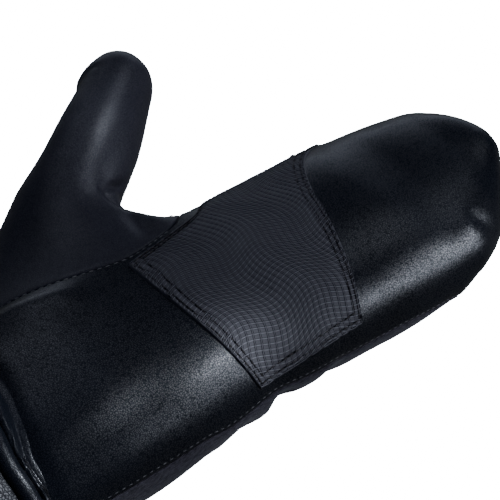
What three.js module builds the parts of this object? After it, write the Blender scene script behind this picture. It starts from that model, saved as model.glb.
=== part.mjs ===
import * as THREE from 'three';

// Padded left-hand mitten, lying palm up on its back.
// Millimetres: +Y runs from the wrist to the fingertips, -X is the thumb side, +Z is the palm.

// Hand body
const handLength = 227;
const palmWidth = 94;
const seamLift = 27;
const palmRise = 31;
const backDrop = 30;
const tipRound = 45;
const shellWall = 3.5;
const seamGap = 0.5;
const capAlong = 171;

// Thumb
const crotchAlong = 106;
const thumbDiameter = 39;
const thumbLength = 64.5;
const thumbTipRound = 17;
const thumbTipCover = 22.5;
const thumbOut = 31;
const thumbSetBack = 20;
const thumbLift = 14.5;
const thumbSpread = 33;
const thumbClimb = 16.5;

// Wrist and cuff
const gatherLength = 8;
const gatherProud = 1.6;
const gatherFold = 1.1;
const gatherFolds = 22;
const rollLength = 6.5;
const rollProud = 3.2;
const cuffLength = 50;
const cuffWidth = 101;
const cuffLift = 30;
const cuffRise = 31;
const cuffDrop = 32;
const hemLength = 8;
const hemProud = 1.2;
const cuffWall = 3;

// Grip patch
const patchThickness = 1.2;
const patchClearance = 0.5;

// Line across the hand that is the part's reference, on the resting face of the back
const restAlong = 84;

const halfPalm = palmWidth / 2;
const halfCuff = cuffWidth / 2;
const thumbRadius = thumbDiameter / 2;
const wristBand = gatherLength + rollLength;
const cuffEnd = wristBand + cuffLength;
const mouthEnd = cuffEnd + hemLength;
const thumbTipSeam = thumbLength - thumbTipCover;
const squareness = 2.3;
const backSquareness = 1.8;
const cuffEase = 2.2;
const fullTurn = 360;
const halfTurn = 180;

// How finely the panels are divided
const palmColumns = 13;
const backColumns = 12;
const cuffColumns = 14;
const bandColumns = 40;
const rowSlant = 5;

// Sections of the hand: along is a share of handLength, index and pinky of half the palm width,
// lift of seamLift, rise of palmRise, drop of backDrop
const handSections = [
  { along: 0.000, index: 0.915, pinky: 1.000, lift: 1.04, rise: 0.770, drop: 0.870 },
  { along: 0.045, index: 0.915, pinky: 1.010, lift: 1.02, rise: 0.840, drop: 0.900 },
  { along: 0.130, index: 0.935, pinky: 1.030, lift: 1.00, rise: 0.970, drop: 0.970 },
  { along: 0.265, index: 0.957, pinky: 1.010, lift: 1.00, rise: 1.000, drop: 1.000 },
  { along: 0.420, index: 0.945, pinky: 0.990, lift: 1.00, rise: 0.985, drop: 0.960 },
  { along: 0.550, index: 0.915, pinky: 0.990, lift: 1.00, rise: 0.895, drop: 0.920 },
  { along: 0.680, index: 0.890, pinky: 0.980, lift: 1.00, rise: 0.835, drop: 0.860 },
  { along: 0.800, index: 0.860, pinky: 0.960, lift: 1.01, rise: 0.700, drop: 0.820 },
  { along: 0.900, index: 0.840, pinky: 0.950, lift: 1.04, rise: 0.670, drop: 0.800 },
  { along: 1.000, index: 0.840, pinky: 0.950, lift: 1.27, rise: 0.680, drop: 0.760 },
];
const tipPowers = { index: 3, pinky: 1.5, rise: 2.5, drop: 1.7 };

// Seam where the thumb is set in: along is a share of crotchAlong, around the angle about the hand
// (0 pinky seam, 90 palm, 180 index seam), turn the matching angle about the thumb,
// knot the name of a point where panels meet
const thumbSeam = [
  { along: 1.000, around: 180, turn: 0 },
  { along: 1.000, around: 162, turn: 8 },
  { along: 0.980, around: 144, turn: 18 },
  { along: 0.935, around: 130, turn: 30 },
  { along: 0.860, around: 118, turn: 44 },
  { along: 0.745, around: 113, turn: 60 },
  { along: 0.630, around: 111, turn: 76 },
  { along: 0.520, around: 115, turn: 92 },
  { along: 0.395, around: 124, turn: 110 },
  { along: 0.255, around: 138, turn: 130 },
  { along: 0.115, around: 151, turn: 148 },
  { along: 0.015, around: 160, turn: 162, knot: 'palm corner' },
  { along: 0.010, around: 172, turn: 176, knot: 'outer seam' },
  { along: 0.010, around: 186, turn: 190 },
  { along: 0.015, around: 200, turn: 204, knot: 'back corner' },
  { along: 0.130, around: 209, turn: 222 },
  { along: 0.300, around: 214, turn: 242 },
  { along: 0.490, around: 215, turn: 266 },
  { along: 0.660, around: 213, turn: 290 },
  { along: 0.810, around: 207, turn: 314 },
  { along: 0.915, around: 198, turn: 336, knot: 'web seam' },
  { along: 0.980, around: 188, turn: 350 },
];
const knotNumber = (knot) => thumbSeam.findIndex((row) => row.knot === knot);
const palmCorner = knotNumber('palm corner');
const outerSeam = knotNumber('outer seam');
const backCorner = knotNumber('back corner');
const webSeam = knotNumber('web seam');

// Thumb taper: along is a share of thumbLength, width of the thumb's radius
const thumbTaper = [
  { along: 0.00, width: 1.00 },
  { along: 0.20, width: 0.97 },
  { along: 0.40, width: 0.92 },
  { along: 0.58, width: 0.85 },
  { along: 0.75, width: 0.78 },
  { along: 1.00, width: 0.72 },
];
const rootPull = 0.42;
const tubePull = 0.36;
const wristAim = 0.7;

// Grip patch, three rows from the wrist end to the finger end, each from the index to the pinky side:
// along is a share of handLength, around the angle about the hand
const patchRows = [
  [{ along: 0.278, around: 105 }, { along: 0.278, around: 69 }, { along: 0.317, around: 14 }],
  [{ along: 0.493, around: 131 }, { along: 0.441, around: 80 }, { along: 0.423, around: 16 }],
  [{ along: 0.762, around: 157 }, { along: 0.613, around: 92 }, { along: 0.524, around: 17 }],
];

const radians = THREE.MathUtils.degToRad;
const lerp = THREE.MathUtils.lerp;
const vector = (x, y, z) => new THREE.Vector3(x, y, z);

// Monotone cubic through a table's rows, so no section overshoots its neighbours
function tableValue(rows, key, x) {
  const last = rows.length - 1;
  const step = (i) => rows[i + 1].along - rows[i].along;
  const rise = (i) => (rows[i + 1][key] - rows[i][key]) / step(i);
  const slope = (i) => {
    if (i === 0) return rise(0);
    if (i === last) return rise(last - 1);
    const before = rise(i - 1);
    const after = rise(i);
    return before * after <= 0 ? 0 : (2 * before * after) / (before + after);
  };
  let i = 0;
  while (i < last - 1 && x > rows[i + 1].along) i += 1;
  const h = step(i);
  const t = THREE.MathUtils.clamp((x - rows[i].along) / h, 0, 1);
  const rest = 1 - t;
  return (1 + 2 * t) * rest * rest * rows[i][key] + t * rest * rest * h * slope(i)
    + t * t * (3 - 2 * t) * rows[i + 1][key] - t * t * rest * h * slope(i + 1);
}

// Half sizes of the hand's outline at a distance from the wrist
function handSection(along) {
  const share = along / handLength;
  const past = THREE.MathUtils.clamp((along - handLength + tipRound) / tipRound, 0, 1);
  const rounded = (power) => (1 - past ** power) ** (1 / power);
  return {
    index: halfPalm * tableValue(handSections, 'index', share) * rounded(tipPowers.index),
    pinky: halfPalm * tableValue(handSections, 'pinky', share) * rounded(tipPowers.pinky),
    lift: seamLift * tableValue(handSections, 'lift', share),
    rise: palmRise * tableValue(handSections, 'rise', share) * rounded(tipPowers.rise),
    drop: backDrop * tableValue(handSections, 'drop', share) * rounded(tipPowers.drop),
  };
}

// The cuff opens from the wrist's outline to the mouth's, fast at first
function cuffSection(along) {
  const wrist = handSection(0);
  const opened = 1 - (1 - THREE.MathUtils.clamp(-along / mouthEnd, 0, 1)) ** cuffEase;
  return {
    index: lerp(wrist.index, halfCuff, opened),
    pinky: lerp(wrist.pinky, halfCuff, opened),
    lift: lerp(wrist.lift, cuffLift, opened),
    rise: lerp(wrist.rise, cuffRise, opened),
    drop: lerp(wrist.drop, cuffDrop, opened),
  };
}

// A point of the outline: a rounded box whose four sides have their own half sizes
function outlinePoint(along, around) {
  const size = along < 0 ? cuffSection(along) : handSection(along);
  const power = 2 / (Math.sin(radians(around)) > 0 ? squareness : backSquareness);
  const bend = (value) => Math.sign(value) * Math.abs(value) ** power;
  const across = bend(Math.cos(radians(around)));
  const up = bend(Math.sin(radians(around)));
  const x = across * (across > 0 ? size.pinky : size.index);
  const z = size.lift + up * (up > 0 ? size.rise : size.drop);
  return vector(x, along, z);
}

function outlineNormal(along, around) {
  if (along > handLength - 0.01) return vector(0, 1, 0);
  const turnStep = 0.5;
  const alongStep = 0.2;
  const ahead = Math.min(along + alongStep, handLength);
  const turned = outlinePoint(along, around + turnStep).sub(outlinePoint(along, around - turnStep));
  const moved = outlinePoint(ahead, around).sub(outlinePoint(along - alongStep, around));
  return moved.cross(turned).normalize();
}

// The back lies flat where it rests on the floor
function rested(point) {
  point.z = Math.max(point.z, 0);
  return point;
}

// Closed body from an outer and an inner grid of points with a rim between them
function sheetGeometry(outer, inner, loop = false) {
  const slots = new Map();
  const positions = [];
  const triangles = [];
  const slot = (point) => {
    const key = point.toArray().map((value) => Math.round(value * 1e4)).join();
    if (!slots.has(key)) {
      slots.set(key, positions.length / 3);
      positions.push(point.x, point.y, point.z);
    }
    return slots.get(key);
  };
  const triangle = (a, b, c) => {
    const [i, j, k] = [slot(a), slot(b), slot(c)];
    if (i !== j && j !== k && k !== i) triangles.push(i, j, k);
  };
  const quad = (a, b, c, d) => {
    triangle(a, b, c);
    triangle(a, c, d);
  };
  const rows = outer.length - 1;
  const columns = outer[0].length - 1;
  for (let i = 0; i < rows; i += 1) {
    for (let j = 0; j < columns; j += 1) {
      quad(outer[i][j], outer[i][j + 1], outer[i + 1][j + 1], outer[i + 1][j]);
      quad(inner[i][j], inner[i + 1][j], inner[i + 1][j + 1], inner[i][j + 1]);
    }
    if (!loop) {
      quad(outer[i][0], outer[i + 1][0], inner[i + 1][0], inner[i][0]);
      quad(outer[i][columns], inner[i][columns], inner[i + 1][columns], outer[i + 1][columns]);
    }
  }
  for (let j = 0; j < columns; j += 1) {
    quad(outer[0][j], inner[0][j], inner[0][j + 1], outer[0][j + 1]);
    quad(outer[rows][j], outer[rows][j + 1], inner[rows][j + 1], inner[rows][j]);
  }
  return facingOut(positions, triangles);
}

// Turn every triangle over where the body would be inside out
function facingOut(positions, triangles) {
  const point = (i) => vector(...positions.slice(3 * i, 3 * i + 3));
  let volume = 0;
  for (let i = 0; i < triangles.length; i += 3) {
    const [a, b, c] = triangles.slice(i, i + 3).map(point);
    volume += a.dot(b.cross(c));
  }
  if (volume < 0) triangles.reverse();
  const geometry = new THREE.BufferGeometry();
  geometry.setAttribute('position', new THREE.Float32BufferAttribute(positions, 3));
  geometry.setIndex(triangles);
  geometry.computeVertexNormals();
  return geometry;
}

const steps = (from, to, count) => Array.from({ length: count + 1 }, (_, i) => lerp(from, to, i / count));

// Distances from the wrist that crowd towards the fingertips, where the outline closes
function tipStations(from, straightCount, roundCount) {
  const roundStart = handLength - tipRound;
  const straight = from < roundStart ? steps(from, roundStart, straightCount).slice(0, -1) : [];
  const first = Math.max(from - roundStart, 0) / tipRound;
  const round = steps(Math.asin(first), Math.PI / 2, roundCount);
  return straight.concat(round.map((angle) => roundStart + tipRound * Math.sin(angle)));
}

const seamAt = (i) => {
  const row = thumbSeam[((i % thumbSeam.length) + thumbSeam.length) % thumbSeam.length];
  return { along: row.along * crotchAlong, around: row.around, turn: row.turn };
};

// In the surface at a seam point, square to the seam, pointing into the thumb's side
function seamInward(i) {
  const here = seamAt(i);
  const before = seamAt(i - 1);
  const after = seamAt(i + 1);
  const normal = outlineNormal(here.along, here.around);
  const run = outlinePoint(after.along, after.around).sub(outlinePoint(before.along, before.around));
  const inward = normal.clone().cross(run).normalize();
  const middle = outlinePoint(crotchAlong / 2, halfTurn);
  const towards = middle.sub(outlinePoint(here.along, here.around));
  return inward.dot(towards) < 0 ? inward.negate() : inward;
}

// A panel of the hand: each row runs from the pinky seam to the far seam.
// Rows that end on the thumb seam stop half a gap short of it.
function handPanel(rows, columns, pinkyAround, shift) {
  const outer = [];
  const inner = [];
  rows.forEach((row) => {
    const outerRow = [];
    const innerRow = [];
    steps(0, 1, columns).forEach((share) => {
      const along = lerp(row.pinkyAlong, row.along, share);
      const around = lerp(pinkyAround, row.around, share);
      const point = outlinePoint(along, around);
      if (share === 1 && row.seam !== undefined) {
        point.addScaledVector(seamInward(row.seam), -seamGap / 2);
      }
      point.z += shift;
      rested(point);
      const normal = outlineNormal(along, around);
      outerRow.push(point);
      innerRow.push(point.clone().addScaledVector(normal, -shellWall));
    });
    outer.push(outerRow);
    inner.push(innerRow);
  });
  return sheetGeometry(outer, inner);
}

// Rows beside the thumb, from the wrist to the crotch, named by the seam points that they end on
function rowsBesideThumb(seamPoints) {
  const count = seamPoints.length - 1;
  const pinkyReach = crotchAlong + rowSlant;
  return seamPoints.map((seam, i) => {
    const { along, around } = seamAt(seam);
    return { pinkyAlong: lerp(seamGap, pinkyReach, i / count), along, around, seam };
  });
}

// Rows from the crotch on, which end on the index seam
function fingerRows(stations) {
  const reach = handLength - crotchAlong;
  return stations.map((along) => {
    const pinkyAlong = along + rowSlant * (1 - (along - crotchAlong) / reach);
    return { pinkyAlong, along, around: halfTurn };
  });
}

const countUp = (from, to) => Array.from({ length: to - from + 1 }, (_, i) => from + i);

function palmPanel() {
  const besideThumb = rowsBesideThumb(countUp(0, palmCorner).reverse());
  const fingers = fingerRows(tipStations(crotchAlong, 6, 7).slice(1));
  return handPanel(besideThumb.concat(fingers), palmColumns, 0, seamGap / 2);
}

function backPanel() {
  const seamPoints = countUp(backCorner, thumbSeam.length);
  const besideThumb = rowsBesideThumb(seamPoints);
  const fingers = fingerRows(steps(crotchAlong, capAlong - seamGap / 2, 5).slice(1));
  const last = fingers[fingers.length - 1];
  last.pinkyAlong = last.along;
  return handPanel(besideThumb.concat(fingers), backColumns, fullTurn, -seamGap / 2);
}

function fingertipCap() {
  const rows = tipStations(capAlong + seamGap / 2, 1, 6)
    .map((along) => ({ pinkyAlong: along, along, around: halfTurn }));
  return handPanel(rows, backColumns, fullTurn, -seamGap / 2);
}

// Thumb axis: root is the centre of the ring where the web ends and the straight tube starts
const thumbAxis = vector(
  -Math.sin(radians(thumbSpread)) * Math.cos(radians(thumbClimb)),
  Math.cos(radians(thumbSpread)) * Math.cos(radians(thumbClimb)),
  Math.sin(radians(thumbClimb)),
);
const thumbRoot = vector(
  -handSection(crotchAlong).index - thumbOut,
  crotchAlong - thumbSetBack,
  seamLift + thumbLift,
);
const thumbUp = vector(0, 0, 1).addScaledVector(thumbAxis, -thumbAxis.z).normalize();
const thumbSide = thumbAxis.clone().cross(thumbUp);

function thumbTubePoint(along, turn) {
  const past = THREE.MathUtils.clamp((along - thumbLength + thumbTipRound) / thumbTipRound, 0, 1);
  const width = tableValue(thumbTaper, 'width', along / thumbLength) * Math.sqrt(1 - past * past);
  const radial = thumbSide.clone().multiplyScalar(Math.cos(radians(turn)))
    .addScaledVector(thumbUp, Math.sin(radians(turn)));
  return thumbRoot.clone().addScaledVector(thumbAxis, along)
    .addScaledVector(radial, thumbRadius * width);
}

// One line of the thumb's skin, from the seam on the hand through the web to the tip.
// The web leaves the hand along its surface at the crotch and straighter towards the wrist,
// and meets the tube along its axis.
function thumbLine(i, tubeStations, webCount) {
  const { along, around, turn } = seamAt(i);
  const inward = seamInward(i);
  const start = outlinePoint(along, around).addScaledVector(inward, seamGap / 2);
  const end = thumbTubePoint(0, turn);
  const reach = start.distanceTo(end);
  const straight = end.clone().sub(start).normalize();
  const leave = inward.lerp(straight, wristAim * (1 - along / crotchAlong)).normalize();
  const web = new THREE.CubicBezierCurve3(
    start,
    start.clone().addScaledVector(leave, rootPull * reach),
    end.clone().addScaledVector(thumbAxis, -tubePull * reach),
    end,
  );
  const tube = tubeStations.slice(1).map((station) => thumbTubePoint(station, turn));
  return web.getPoints(webCount).concat(tube);
}

const webSteps = 8;
const tubeStations = steps(0, thumbTipSeam, 4)
  .concat(steps(thumbTipSeam, thumbLength - thumbTipRound, 1).slice(1))
  .concat(steps(0, Math.PI / 2, 5).slice(1)
    .map((angle) => thumbLength - thumbTipRound * (1 - Math.sin(angle))));
const tipSeamRow = webSteps + 4;

// The whole skin of the thumb as lines and its normals, before it is cut into panels
function thumbSkin() {
  const count = thumbSeam.length;
  const lines = countUp(0, count - 1).map((i) => thumbLine(i, tubeStations, webSteps));
  const normals = lines.map((line, i) => line.map((point, j) => {
    if (j === 0) return outlineNormal(seamAt(i).along, seamAt(i).around);
    if (j === line.length - 1) return thumbAxis.clone();
    const across = lines[(i + 1) % count][j].clone().sub(lines[(i - 1 + count) % count][j]);
    const forward = line[j + 1].clone().sub(line[j - 1]);
    return across.cross(forward).normalize().negate();
  }));
  return { lines, normals };
}

// Panel of the thumb between two of its lines and two of its rows
function thumbPanel(lineNumbers, firstRow, lastRow, side) {
  const { lines, normals } = thumbSkin();
  const count = lines.length;
  const lastLine = lineNumbers.length - 1;
  const shift = thumbUp.clone().multiplyScalar(side * seamGap / 2);
  const outer = [];
  const inner = [];
  for (let j = firstRow; j <= lastRow; j += 1) {
    const outerRow = lineNumbers.map((number, k) => {
      const line = lines[number % count];
      const point = line[j].clone();
      const inset = (other) => {
        const away = other.clone().sub(point);
        return point.addScaledVector(away.normalize(), seamGap / 2);
      };
      if (j < webSteps && k === 0) inset(lines[lineNumbers[1] % count][j]);
      if (j < webSteps && k === lastLine) inset(lines[lineNumbers[lastLine - 1] % count][j]);
      if (j === firstRow && firstRow > 0) inset(line[j + 1]);
      return point.add(shift);
    });
    outer.push(outerRow);
    inner.push(outerRow.map((point, k) => {
      const normal = normals[lineNumbers[k] % count][j];
      return point.clone().addScaledVector(normal, -shellWall);
    }));
  }
  return sheetGeometry(outer, inner);
}

const lastThumbRow = webSteps + tubeStations.length - 1;
const frontLines = countUp(webSeam, thumbSeam.length + outerSeam);
const backLines = countUp(outerSeam, webSeam);

// Band round the whole wrist or cuff: profile rows give the distance from the wrist and how proud it is
function bandGeometry(profile, wall, columns, fold = 0, folds = 0) {
  const pointAt = (along, around, proud) => {
    const normal = outlineNormal(along, around).setY(0).normalize();
    return outlinePoint(along, around).addScaledVector(normal, proud);
  };
  const angles = countUp(0, columns).map((i) => (fullTurn * (i % columns)) / columns);
  const outer = profile.map(({ along, proud }, i) => angles.map((around) => {
    const edge = i === 0 || i === profile.length - 1;
    const wave = edge ? 0 : fold * Math.cos(radians(folds * around));
    return rested(pointAt(along, around, proud + wave));
  }));
  const inner = profile.map(({ along }) => angles.map((around) => {
    const point = pointAt(along, around, -wall);
    point.z = Math.max(point.z, wall);
    return point;
  }));
  return sheetGeometry(outer, inner, true);
}

function wristGather() {
  const profile = [0, 0.28, 0.72, 1].map((share) => ({
    along: -seamGap - share * (gatherLength - seamGap),
    proud: gatherProud * Math.sin(Math.PI * share),
  }));
  return bandGeometry(profile, shellWall, gatherFolds * 4, gatherFold, gatherFolds);
}

function wristRoll() {
  const length = rollLength - seamGap;
  const profile = steps(0, Math.PI, 5).map((angle) => ({
    along: -gatherLength - seamGap - length * (1 - Math.cos(angle)) / 2,
    proud: rollProud * Math.sin(angle),
  }));
  return bandGeometry(profile, cuffWall, bandColumns);
}

function cuffHem() {
  const first = -cuffEnd - seamGap;
  const profile = [
    { along: first, proud: 0 },
    { along: first - hemProud, proud: hemProud },
    { along: hemProud - mouthEnd, proud: hemProud },
    { along: -mouthEnd, proud: 0 },
  ];
  return bandGeometry(profile, cuffWall, bandColumns);
}

// Half of the cuff's tube, palm side or back side
function cuffHalf(firstAround, lastAround, shift) {
  const outer = [];
  const inner = [];
  steps(-wristBand - seamGap, -cuffEnd, 4).forEach((along) => {
    const angles = steps(firstAround, lastAround, cuffColumns);
    outer.push(angles.map((around) => {
      const point = outlinePoint(along, around);
      point.z += shift;
      return rested(point);
    }));
    inner.push(outer[outer.length - 1].map((point, j) => {
      const normal = outlineNormal(along, angles[j]);
      return point.clone().addScaledVector(normal, -cuffWall);
    }));
  });
  return sheetGeometry(outer, inner);
}

// Place on the grip patch, through its nine table points
function patchPlace(down, across) {
  const weights = (t) => [2 * (t - 0.5) * (t - 1), 4 * t * (1 - t), 2 * t * (t - 0.5)];
  const downWeights = weights(down);
  const acrossWeights = weights(across);
  const place = { along: 0, around: 0 };
  patchRows.forEach((row, i) => row.forEach((cell, j) => {
    const weight = downWeights[i] * acrossWeights[j];
    place.along += weight * cell.along * handLength;
    place.around += weight * cell.around;
  }));
  return place;
}

function gripPatch() {
  const grid = (proud) => steps(0, 1, 10).map((down) => steps(0, 1, 14).map((across) => {
    const { along, around } = patchPlace(down, across);
    const normal = outlineNormal(along, around);
    const point = outlinePoint(along, around).addScaledVector(normal, proud);
    point.z += seamGap / 2;
    return point;
  }));
  return sheetGeometry(grid(patchClearance + patchThickness), grid(patchClearance));
}

const finishes = {
  leather: { color: 0x11141b, roughness: 0.42, metalness: 0 },
  cuffLeather: { color: 0x14171d, roughness: 0.5, metalness: 0 },
  fabric: { color: 0x4b4850, roughness: 0.95, metalness: 0 },
  grip: { color: 0x2b2a2d, roughness: 0.75, metalness: 0 },
  binding: { color: 0x1a1a1e, roughness: 0.85, metalness: 0 },
};

function piece(name, geometry, finish) {
  const mesh = new THREE.Mesh(geometry, new THREE.MeshStandardMaterial(finishes[finish]));
  mesh.name = name;
  return mesh;
}

const hand = new THREE.Group();
hand.add(
  piece('palm_panel', palmPanel(), 'leather'),
  piece('back_panel', backPanel(), 'fabric'),
  piece('fingertip_cap', fingertipCap(), 'leather'),
  piece('grip_patch', gripPatch(), 'grip'),
);

const thumb = new THREE.Group();
thumb.add(
  piece('thumb_front', thumbPanel(frontLines, 0, lastThumbRow, 1), 'leather'),
  piece('thumb_back', thumbPanel(backLines, 0, tipSeamRow, -1), 'fabric'),
  piece('thumb_tip', thumbPanel(backLines, tipSeamRow, lastThumbRow, -1), 'leather'),
);

const cuff = new THREE.Group();
cuff.add(
  piece('wrist_gather', wristGather(), 'leather'),
  piece('wrist_roll', wristRoll(), 'leather'),
  piece('cuff_palm', cuffHalf(0, halfTurn, seamGap / 2), 'cuffLeather'),
  piece('cuff_back', cuffHalf(halfTurn, fullTurn, -seamGap / 2), 'fabric'),
  piece('cuff_hem', cuffHem(), 'binding'),
);

const mitten = new THREE.Group();
mitten.add(hand, thumb, cuff);
mitten.position.y = -restAlong;

export default mitten;
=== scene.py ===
import bisect
import math
from functools import lru_cache

import bmesh
import bpy
import numpy as np
from mathutils import Matrix, Vector, noise
from mathutils.kdtree import KDTree


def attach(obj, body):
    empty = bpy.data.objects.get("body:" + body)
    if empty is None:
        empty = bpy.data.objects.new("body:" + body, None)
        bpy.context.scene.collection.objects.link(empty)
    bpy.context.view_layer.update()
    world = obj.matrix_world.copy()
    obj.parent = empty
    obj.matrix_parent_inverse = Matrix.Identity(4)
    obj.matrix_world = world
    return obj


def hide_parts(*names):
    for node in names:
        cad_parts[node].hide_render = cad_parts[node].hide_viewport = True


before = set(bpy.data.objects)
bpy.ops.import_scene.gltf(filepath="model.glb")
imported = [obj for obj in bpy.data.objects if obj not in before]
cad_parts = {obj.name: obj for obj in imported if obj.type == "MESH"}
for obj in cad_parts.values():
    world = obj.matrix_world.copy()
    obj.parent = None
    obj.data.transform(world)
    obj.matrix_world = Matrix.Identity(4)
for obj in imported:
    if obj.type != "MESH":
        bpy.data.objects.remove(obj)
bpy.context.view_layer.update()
print("frame loaded")

# A padded left-hand mitten lying on its back, palm up. The forms below are in millimetres from
# the wrist seam; toFrame takes a finished mesh to metres and to the frame's own origin.
toFrame = Matrix.Scale(0.001, 4) @ Matrix.Translation((0, -84, 0))

hand = {
    "length": 227, "halfWidth": 47, "seamLift": 27, "palmRise": 31, "backDrop": 30,
    "tipRound": 45, "squareness": 2.3, "backSquareness": 1.8, "wall": 3.2, "crotch": 106, "cap": 171,
    "rowSlant": 5,
    "tipPowers": {"index": 3, "pinky": 1.5, "rise": 2.5, "drop": 1.7},
    # shares of the sizes above, from the wrist to the fingertips
    "along": (0, 0.045, 0.13, 0.265, 0.42, 0.55, 0.68, 0.80, 0.90, 1),
    "index": (0.915, 0.915, 0.935, 0.957, 0.945, 0.915, 0.89, 0.86, 0.84, 0.84),
    "pinky": (1, 1.01, 1.03, 1.01, 0.99, 0.99, 0.98, 0.96, 0.95, 0.95),
    "lift": (1.04, 1.02, 1, 1, 1, 1, 1, 1.01, 1.04, 1.27),
    "rise": (0.77, 0.84, 0.97, 1, 0.985, 0.895, 0.835, 0.70, 0.67, 0.68),
    "drop": (0.87, 0.90, 0.97, 1, 0.96, 0.92, 0.86, 0.82, 0.80, 0.76),
}
cuff = {
    "gather": 8, "roll": 6.5, "length": 50, "hem": 8, "halfWidth": 50.5,
    "lift": 30, "rise": 31, "drop": 32, "ease": 2.2, "wall": 2.8,
    "gatherProud": 2.2, "rollProud": 2.7, "hemProud": 1.2,
}
wristBand = cuff["gather"] + cuff["roll"]
cuffEnd = wristBand + cuff["length"]
mouthEnd = cuffEnd + cuff["hem"]


def clamp(value, low=0.0, high=1.0):
    return min(max(value, low), high)


def mix(a, b, share):
    return a + (b - a) * share


# Cubic through the values that never overshoots them
def smoothCurve(stations, values):
    steps = [b - a for a, b in zip(stations, stations[1:])]
    rises = [(b - a) / step for a, b, step in zip(values, values[1:], steps)]
    slopes = [rises[0]]
    for before, after in zip(rises, rises[1:]):
        slopes.append(0 if before * after <= 0 else 2 * before * after / (before + after))
    slopes.append(rises[-1])

    def value(x):
        i = min(max(bisect.bisect_right(stations, x) - 1, 0), len(steps) - 1)
        t = clamp((x - stations[i]) / steps[i])
        rest = 1 - t
        pull = rest * slopes[i] - t * slopes[i + 1]
        flat = (1 + 2 * t) * rest * rest * values[i] + t * t * (3 - 2 * t) * values[i + 1]
        return flat + t * rest * steps[i] * pull
    return value


handCurves = {name: smoothCurve(hand["along"], hand[name])
              for name in ("index", "pinky", "lift", "rise", "drop")}


# Index, pinky, lift, rise and drop of the outline at a distance from the wrist
@lru_cache(maxsize=None)
def section(along):
    if along < 0:
        wrist = section(0)
        opened = 1 - (1 - clamp(-along / mouthEnd)) ** cuff["ease"]
        mouth = (cuff["halfWidth"], cuff["halfWidth"], cuff["lift"], cuff["rise"], cuff["drop"])
        return tuple(mix(a, b, opened) for a, b in zip(wrist, mouth))
    share = along / hand["length"]
    past = clamp((along - hand["length"] + hand["tipRound"]) / hand["tipRound"])

    def rounded(name):
        power = hand["tipPowers"][name]
        return handCurves[name](share) * (1 - past ** power) ** (1 / power)
    return (hand["halfWidth"] * rounded("index"),
            hand["halfWidth"] * rounded("pinky"),
            hand["seamLift"] * handCurves["lift"](share),
            hand["palmRise"] * rounded("rise"),
            hand["backDrop"] * rounded("drop"))


# The gathered wrist line sits lower on the pinky side: where a distance from the wrist ends up
wrist = {
    "turns": (-130, -40, 0, 50, 70, 83, 110, 140), "share": (0, 0.8, 1, 1, 0.67, 0.4, 0.12, 0),
    "top": 45, "bottom": -60, "crease": 14, "middle": 8.8, "cuff": 8.5,
}
wristShare = smoothCurve(wrist["turns"], wrist["share"])


def slanted(along, around):
    if not wrist["bottom"] < along < wrist["top"]:
        return along
    share = wristShare((around + 180) % 360 - 180)
    stations = (wrist["bottom"], -wristBand, -cuff["gather"], 0, wrist["top"])
    drops = (0, wrist["cuff"], wrist["middle"], wrist["crease"], 0)
    return smoothCurve(stations, [at - drop * share for at, drop in zip(stations, drops)])(along)


# A point of the skin: around is 0 at the pinky side, 90 on the palm, 180 at the index seam
def skinPoint(along, around):
    index, pinky, lift, rise, drop = section(round(along, 3))
    turn = math.radians(around)
    power = 2 / (hand["squareness"] if math.sin(turn) > 0 else hand["backSquareness"])
    across = math.copysign(abs(math.cos(turn)) ** power, math.cos(turn))
    up = math.copysign(abs(math.sin(turn)) ** power, math.sin(turn))
    x = across * (pinky if across > 0 else index)
    z = lift + up * (rise if up > 0 else drop)
    return Vector((x, slanted(along, around), z))


def skinNormal(along, around):
    ahead = min(along + 0.2, hand["length"])
    moved = skinPoint(ahead, around) - skinPoint(along - 0.2, around)
    turned = skinPoint(along, around + 0.5) - skinPoint(along, around - 0.5)
    normal = moved.cross(turned)
    return normal.normalized() if normal.length > 1e-6 else Vector((0, 1, 0))


# The thumb: its seam on the hand, then a web that runs into a straight tapering tube
thumb = {
    "radius": 19.5, "length": 64.5, "tipRound": 17, "tipSeam": 42,
    "out": 31, "setBack": 20, "lift": 14.5, "spread": 33, "climb": 16.5,
    "rootPull": 0.42, "tubePull": 0.36, "wristAim": 0.7,
    # around the seam from the crotch over the palm to the wrist and back underneath:
    # share of the crotch's distance, angle about the hand, angle about the thumb
    "seamAlong": (1, 1, 0.98, 0.935, 0.86, 0.745, 0.63, 0.52, 0.395, 0.255, 0.115,
                  0.015, 0.01, 0.01, 0.015, 0.13, 0.3, 0.49, 0.66, 0.81, 0.915, 0.98),
    "seamAround": (180, 162, 144, 130, 118, 113, 111, 115, 124, 138, 151,
                   160, 172, 186, 200, 209, 214, 215, 213, 207, 198, 188),
    "seamTurn": (0, 8, 18, 30, 44, 60, 76, 92, 110, 130, 148,
                 162, 176, 190, 204, 222, 242, 266, 290, 314, 336, 350),
    "palmCorner": 11, "outerSeam": 12, "backCorner": 14, "webSeam": 20,
    "taperAlong": (0, 0.2, 0.4, 0.58, 0.75, 1),
    "taper": (1, 0.97, 0.92, 0.85, 0.78, 0.72),
}
thumbTaper = smoothCurve(thumb["taperAlong"], thumb["taper"])
seamKnots = len(thumb["seamAlong"])
spread = math.radians(thumb["spread"])
climb = math.radians(thumb["climb"])
thumbAxis = Vector((-math.sin(spread) * math.cos(climb), math.cos(spread) * math.cos(climb),
                    math.sin(climb)))
thumbUp = (Vector((0, 0, 1)) - thumbAxis * thumbAxis.z).normalized()
thumbSide = thumbAxis.cross(thumbUp)
thumbRoot = Vector((-section(hand["crotch"])[0] - thumb["out"],
                    hand["crotch"] - thumb["setBack"],
                    hand["seamLift"] + thumb["lift"]))


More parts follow.
